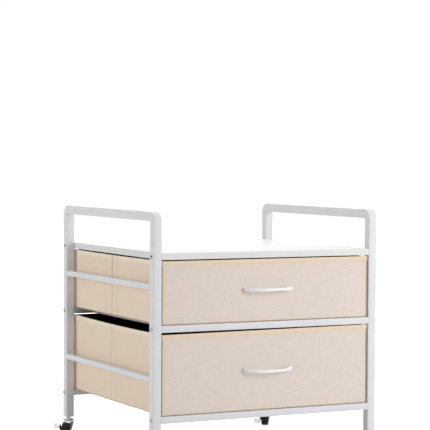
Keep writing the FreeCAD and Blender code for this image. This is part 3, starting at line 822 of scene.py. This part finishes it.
thread = cotton_thread("cream_cotton_thread", "#EADCC8", "#D8C7AF")
for drawer in (UPPER, LOWER):
    name = drawer["name"]
    low = drawer["bottom"] + FRONT_LIFT + SEAM_INSET
    seam_x = FRONT_HALF - SEAM_INSET
    seam_y = FRONT_FACE + SEAM_DEPTH
    rim = drawer["top"] - 9.0
    rows = [
        stitch_row(FRONT_HALF - 1, lambda s, out, up: at(
            s, FRONT_FACE - PROUD - 0.25 - out, front_rim(drawer, s) - 9.2 + up)),
        stitch_row(seam_x, lambda s, out, up: at(s, seam_y - out, low + up)),
    ]
    for side in (-1, 1):
        half = (front_rim(drawer, side * seam_x) - TAPE_HEIGHT - low) / 2
        rows.append(stitch_row(half, lambda s, out, up: at(side * seam_x + up, seam_y - out, low + half + s)))
        rows.append(stitch_row(BOX_Y - 4, lambda s, out, up: at(
            side * (BOX_X + PROUD + 0.05 + wall_swell(drawer, side, s, rim) + out), s,
            rim + 0.5 - rim_dip(drawer, side * BOX_X, s) + up)))
    rows.append(stitch_row(BOX_X - 3.5, lambda s, out, up: at(
        s, BOX_REAR + PROUD + 0.05 + out, rim + 0.5 - rim_dip(drawer, s, BOX_REAR) + up)))
    stitching = join_pieces(rows, name + "_stitching")
    # rows that face forwards come out mirrored, and in edit mode they are turned to face outwards
    bpy.ops.object.mode_set(mode="EDIT")
    finish_piece(stitching, thread, name, "cream_tape", smooth=60)


# Drawer floor: a loose stiff board in the same dark lining, which lies on the cloth floor.
# Its edges are soft where the lining is folded over, and it lies not quite flat.
FLOOR_X = 314.0
FLOOR_Y = 307.0
FLOOR_BOARD = 3.4


def floor_board(drawer):
    level = drawer["bottom"] + WALL + FLOOR_BOARD + 0.1
    board = add_sheet(drawer["name"] + "_floor", at(0, 0, level), 2 * FLOOR_X, 2 * FLOOR_Y,
                      columns=64, rows=64)
    for point in board.data.vertices:
        x, y = place_of(point)[:2]
        border = min(FLOOR_X - abs(x), FLOOR_Y - abs(y))
        point.co = at(x, y, level - 0.9 * math.exp(-border / 3) + 0.2 * waver(x / 90, y / 90, 1))
    return board


for drawer in (UPPER, LOWER):
    name = drawer["name"]
    board = floor_board(drawer)
    thicken(board, FLOOR_BOARD)
    finish_piece(board, lining, name, "lined_board", name + "_base_board", smooth=60)


# Bow pulls: moulded white plastic, an arched strap that widens into a foot at each end.
# Each is held by two screws from inside the drawer front.
PULL_HALF = 79.0
PULL_REACH = 26.0


def moulded_plastic(name, light, dark):
    """Moulded plastic: satin, with the faint flow marks of the mould."""
    return hard_finish(name, [(0.3, dark), (0.7, light)], drift={"Scale": 0.05, "Detail": 2.0},
                       grain={"Scale": 3.0, "Detail": 2.0}, relief={"Strength": 0.06, "Distance": 0.0002},
                       roughness={"To Min": 0.26, "To Max": 0.36},
                       gloss={"IOR": 1.5, "Subsurface Weight": 0.08, "Subsurface Scale": 0.002})


def pull_middle(drawer):
    return (drawer["bottom"] + drawer["top"]) / 2 + drawer["pull_rise"]


def bow_pull(drawer):
    """One pull: a rod along X whose points are moved to the bow, its rounded section and its feet."""
    pull = lying_rod(drawer["name"] + "_bow_pull", sides=28, radius=1, half=1, cuts=71)
    for point in pull.data.vertices:
        # t runs from -1 to 1 along the pull, and half its height grows from 4.2 to 6.4 mm at the feet
        t, out, up = [value / MM for value in point.co]
        foot = max(0.0, (abs(t) - 0.74) / 0.26)
        wider = min(max((abs(t) - 0.45) / 0.5, 0.0), 1.0)
        reach = PULL_REACH * (1 - abs(t) ** 2.6) ** 0.8 if abs(t) < 1 else 0.0
        height = 4.2 + 2.2 * wider ** 2 * (3 - 2 * wider)
        depth = 2.0 + 0.6 * foot
        slope = math.copysign(min(1.0, (abs(t) ** 3) * 1.15), t)
        end = math.sqrt(max(0.0, 1 - max(0.0, (abs(t) - 0.93) / 0.07) ** 2 * 0.55))
        x = t * (PULL_HALF - 3) + out * depth * -slope * 0.75
        y = FRONT_FACE - 2.0 - reach + out * depth * (1 - 0.35 * abs(slope))
        z = pull_middle(drawer) - drawer["sag"] * (1 - t * t) + up * height * end
        point.co = at(x, min(y, FRONT_FACE + 0.3), z)
    apply_modifier(pull, "smooth", "SUBSURF", levels=1, render_levels=1)
    return pull


pull_plastic = moulded_plastic("white_moulded_plastic", "#F7F4F2", "#F3EFED")
for drawer in (UPPER, LOWER):
    name = drawer["name"]
    finish_piece(bow_pull(drawer), pull_plastic, name, "white_plastic", name + "_pull", smooth=60)


# Pull screws: a zinc-plated pan-head screw behind each foot, put in from inside the drawer.
# They hold the pull through the cloth and the board of the front.
PULL_SCREW_X = 69.0
pull_screw = socket_head("pull_screw", radius=4.0, height=1.8, socket=2.5, depth=1.0, dome=1.2)
backwards = Matrix.Rotation(math.radians(-90), 4, "X")
for drawer in (UPPER, LOWER):
    name = drawer["name"]
    places = [at(side * PULL_SCREW_X, WALL - BOX_Y - SUNK, pull_middle(drawer)) for side in (-1, 1)]
    heads = copies_at(pull_screw, places, name + "_pull_screws", backwards)
    finish_piece(heads, zinc, name, "zinc_steel")
bpy.data.objects.remove(pull_screw)


# Leg plugs: a square plastic plug closes each leg and holds the stem of a caster.
# Only its thin flange shows, flush with the tube.
CORNERS = {"front_left": (-LEG_X, -LEG_Y), "rear_left": (-LEG_X, LEG_Y),
           "front_right": (LEG_X, -LEG_Y), "rear_right": (LEG_X, LEG_Y)}
PLUG_LOW = 66.0
PLUG_HEIGHT = 2.4
plugs = []
for x, y in CORNERS.values():
    plug = start_tube("plug", at(x, y, PLUG_LOW), LEG, LEG_CORNER)
    grow(0, 0, PLUG_HEIGHT)
    face_outwards()
    pick_faces(plug, lambda c, n: n.z < -0.9)
    bpy.ops.mesh.inset(thickness=0.8 * MM)
    bpy.ops.transform.translate(value=(0, 0, -0.01 * MM))
    bpy.ops.object.mode_set(mode="OBJECT")
    plugs.append(plug)
plug_plastic = moulded_plastic("grey_white_plug_plastic", "#E4E4E6", "#DEDEE0")
finish_piece(join_pieces(plugs, "leg_end_plugs"), plug_plastic, "frame", "coated_steel")


# Caster mounts: a zinc-plated nut under each leg, and the pressed round race below it.
# The kingpin is riveted through the race, and a dark brown-black ring sits between the race and the ball cup.
NUT_ACROSS = 13.0
RACE_RADIUS = 17.5
RACE_TOP = 62.0
RACE_LOW = 58.9
PIN_RADIUS = 5.0
PIN_LOW = 51.0
RING_RADIUS = 15.6
RING_LOW = 56.1


def turned_disc(name, radius, low, high, bevel_top, bevel_low):
    """A round disc at the origin with rounded edges, between two heights in millimetres."""
    disc = add_rod(name, 64, radius, low, high)
    for level, bevel in ((high, bevel_top), (low, bevel_low)):
        pick_edges(disc, lambda a, b: max(abs(a.z - level * MM), abs(b.z - level * MM)) < 1e-6)
        bpy.ops.mesh.bevel(offset=bevel * MM, segments=4)
    bpy.ops.object.mode_set(mode="OBJECT")
    return disc


dark_ring_finish = moulded_plastic("brown_black_ring_finish", "#3A302A", "#2A221E")
nut = add_rod("nut", 6, NUT_ACROSS / math.sqrt(3), RACE_TOP, PLUG_LOW)
bpy.ops.mesh.bevel(offset=0.5 * MM, segments=2)
bpy.ops.object.mode_set(mode="OBJECT")
race = turned_disc("race", RACE_RADIUS, RACE_LOW, RACE_TOP, bevel_top=1.5, bevel_low=0.4)
pin = turned_disc("pin", PIN_RADIUS, PIN_LOW, RACE_LOW, bevel_top=0.3, bevel_low=0.6)
mount = join_pieces([nut, race, pin], "mount")
ring = turned_disc("ring", RING_RADIUS, RING_LOW, RACE_LOW, bevel_top=0.4, bevel_low=0.4)
places = [at(x, y, 0) for x, y in CORNERS.values()]
mounts = copies_at(mount, places, "caster_races")
rings = copies_at(ring, places, "caster_dark_rings")
finish_piece(mounts, zinc, "frame", "caster_mount", "caster_mounts")
finish_piece(rings, dark_ring_finish, "frame", "wheel_black")
bpy.data.objects.remove(mount)
bpy.data.objects.remove(ring)


# Caster forks: each is pressed from one plate and turns freely on its kingpin, under a ball cup.
# The plate's edges are rounded by tumbling, its crown is zinc plated and its legs are coated black.
# The axle bolt goes through both legs and keeps its zinc.
CUP_RADIUS = 16.6
CUP_TOP = 56.0
CUP_LOW = 53.52
COAT_TOP = 50.6
COAT_REACH = 12.65
joints = {joint["name"]: joint for joint in frame["joints"]}


def eased_copy(node, name, edge):
    """A copy of a CAD node with merged faces and eased edges."""
    copy = copy_to(frame["nodes"][node], Matrix())
    for key in [key for key in copy.keys() if key.startswith("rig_")]:
        del copy[key]
    copy.parent = None
    copy.name = name
    take(copy)
    bpy.ops.object.mode_set(mode="EDIT")
    bpy.ops.mesh.select_all(action="SELECT")
    bpy.ops.mesh.remove_doubles(threshold=0.00001)
    bpy.ops.mesh.dissolve_limited(angle_limit=math.radians(1))
    bpy.ops.object.mode_set(mode="OBJECT")
    ease_edges(copy, edge, segments=2, sharp=40)
    return copy


def is_coated(face, axle):
    """Whether a face of a fork lies on its legs: below the crown and inside the bolt's ends."""
    reach = (face.center - Vector(axle["pos_m"])).dot(Vector(axle["axis"]))
    return face.center.z < COAT_TOP * MM and abs(reach) < COAT_REACH * MM


black_coat = powder_coat("black_powder_coat", "#1C1C1E", "#141416")
cup = turned_disc("cup", CUP_RADIUS, CUP_LOW, CUP_TOP, bevel_top=0.9, bevel_low=0.3)
for name, (x, y) in CORNERS.items():
    fork = eased_copy("caster_%s_fork" % name, "caster_%s_pressed_fork" % name, 0.3)
    finish_piece(fork, zinc, "caster_%s_swivel" % name, "zinc_steel", "caster_%s_fork" % name)
    second_finish(fork, black_coat, lambda face: is_coated(face, joints["caster_%s_roll" % name]))
    ball_cup = copy_to(cup, Matrix.Translation(at(x, y, 0)))
    ball_cup.name = "caster_%s_ball_cup" % name
    finish_piece(ball_cup, zinc, "caster_%s_swivel" % name, "zinc_steel")
bpy.data.objects.remove(cup)


# Caster wheels: moulded black nylon, the edges of the tread well rounded.
# Each side is dished between the rim and the hub, which turns on the axle bolt.
WHEEL_RADIUS = 25.0
WHEEL_HALF = 10.0
TREAD_ROUND = 2.6
RIM = 5.5
WEB = 7.5
HUB = 6.5
DISH = 2.2


def moulded_wheel():
    wheel = add_rod("wheel", 72, WHEEL_RADIUS, -WHEEL_HALF, WHEEL_HALF, UPRIGHT)
    for side in (-1, 1):
        bpy.ops.mesh.select_mode(type="FACE")
        pick_faces(wheel, lambda c, n: n.y * side > 0.9)
        bpy.ops.mesh.inset(thickness=RIM * MM)
        bpy.ops.mesh.inset(thickness=0.8 * MM)
        bpy.ops.transform.translate(value=(0, -side * DISH * MM, 0))
        bpy.ops.mesh.inset(thickness=WEB * MM)
        bpy.ops.mesh.inset(thickness=0.6 * MM)
        bpy.ops.transform.translate(value=(0, side * DISH * MM, 0))
        bpy.ops.mesh.inset(thickness=HUB * MM)
    pick_edges(wheel, lambda a, b: min(a.xz.length, b.xz.length) > (WHEEL_RADIUS - 0.1) * MM
               and min(abs(a.y), abs(b.y)) > (WHEEL_HALF - 0.1) * MM)
    bpy.ops.mesh.bevel(offset=TREAD_ROUND * MM, segments=5)
    bpy.ops.object.mode_set(mode="OBJECT")
    return wheel


def black_nylon(name, light, dark):
    """Black moulded nylon: satin, with fine scuffs and dust."""
    scuffs = {"Scale": 0.5, "Detail": 6.0}
    return hard_finish(name, [(0.35, dark), (0.7, light)], drift=scuffs, grain=scuffs,
                       relief={"Strength": 0.15, "Distance": 0.0003},
                       roughness={"To Min": 0.45, "To Max": 0.7}, gloss={"Specular IOR Level": 0.2})


nylon = black_nylon("black_nylon", "#161618", "#0B0B0D")
wheel = moulded_wheel()
for name in sorted(CORNERS):
    roll = joints["caster_%s_roll" % name]
    heading = math.atan2(-roll["axis"][0], roll["axis"][1])
    copy = copy_to(wheel, Matrix.Translation(Vector(roll["pos_m"])) @ Matrix.Rotation(heading, 4, "Z"))
    copy.name = "caster_%s_nylon_wheel" % name
    finish_piece(copy, nylon, "caster_%s_wheel" % name, "wheel_black", "caster_%s_wheel" % name)
bpy.data.objects.remove(wheel)


# Side locks: a stamped zinc lever on each axle, its foot tab folded outwards.
# Pressing the tab down or lifting it turns the lever about the axle.
for name in sorted(CORNERS):
    lever = eased_copy("caster_%s_lever" % name, "caster_%s_lock_lever" % name, 0.7)
    finish_piece(lever, zinc, "caster_%s_lock" % name, "zinc_steel", "caster_%s_lever" % name)


# The floor is a plain pale sheet, and what the camera and the reflections see behind it is white.
# The light is soft: the strongest of four large lamps is at the front right, and the world fills in.
def seen_rays(owner):
    """An output that is 1 for what the camera or a reflection sees, and 0 for light on the object."""
    path = add_node(owner, "ShaderNodeLightPath")
    seen = add_node(owner, "ShaderNodeMath", {"operation": "MAXIMUM"},
                    links={0: path.outputs["Is Camera Ray"], 1: path.outputs["Is Glossy Ray"]})
    return seen.outputs[0]


def pale_floor():
    material, place = new_material("pale_floor")
    matt = add_node(material, "ShaderNodeBsdfDiffuse", values={"Color": (0.74, 0.74, 0.74, 1)})
    seen_matt = add_node(material, "ShaderNodeBsdfDiffuse", values={"Color": (0.95, 0.95, 0.95, 1)})
    # the glow rises away from the stand, so the far floor is white and the near floor keeps a shadow
    distance = add_node(material, "ShaderNodeVectorMath", {"operation": "LENGTH"}, links={0: place})
    rise = add_node(material, "ShaderNodeMapRange",
                    values={"From Min": 900.0, "From Max": 3000.0, "To Min": 0.5, "To Max": 0.78},
                    links={"Value": distance.outputs["Value"]})
    glow = add_node(material, "ShaderNodeEmission", values={"Color": (1, 1, 1, 1)},
                    links={"Strength": rise.outputs[0]})
    lit = add_node(material, "ShaderNodeAddShader", links={0: seen_matt.outputs[0], 1: glow.outputs[0]})
    mix = add_node(material, "ShaderNodeMixShader",
                   links={0: seen_rays(material), 1: matt.outputs[0], 2: lit.outputs[0]})
    add_node(material, "ShaderNodeOutputMaterial", links={"Surface": mix.outputs[0]})
    return material


deselect_all()
bpy.ops.mesh.primitive_plane_add(size=30, location=at(0, 0, 0))
floor = bpy.context.object
floor.name = "studio_floor"
floor.data.materials.append(pale_floor())

world = bpy.data.worlds.new("studio")
bpy.context.scene.world = world
world.use_nodes = True
world.node_tree.nodes.clear()
soft = add_node(world, "ShaderNodeBackground", values={"Color": (1, 1, 1, 1), "Strength": 0.36})
white = add_node(world, "ShaderNodeBackground", values={"Color": (1, 1, 1, 1), "Strength": 1.0})
both = add_node(world, "ShaderNodeMixShader",
                links={0: seen_rays(world), 1: soft.outputs[0], 2: white.outputs[0]})
add_node(world, "ShaderNodeOutputWorld", links={"Surface": both.outputs[0]})


def soft_light(name, place, aim, size, power):
    """A large square lamp, turned to a height on the stand's middle line; size in metres, power in watts."""
    lamp = bpy.data.objects.new(name, bpy.data.lights.new(name, "AREA"))
    bpy.context.scene.collection.objects.link(lamp)
    lamp.data.shape = "SQUARE"
    lamp.data.size = size
    lamp.data.energy = power
    lamp.location = at(*place)
    lamp.rotation_euler = (at(0, 0, aim) - at(*place)).to_track_quat("-Z", "Y").to_euler()


soft_light("key", place=(2300, -3300, 1500), aim=300, size=2.0, power=86)
soft_light("fill", place=(-3800, 500, 850), aim=300, size=2.4, power=50)
soft_light("top", place=(300, 300, 3300), aim=350, size=2.5, power=37)
soft_light("back", place=(1600, 3900, 1500), aim=350, size=2.4, power=34)

bpy.context.scene.view_settings.view_transform = "Standard"
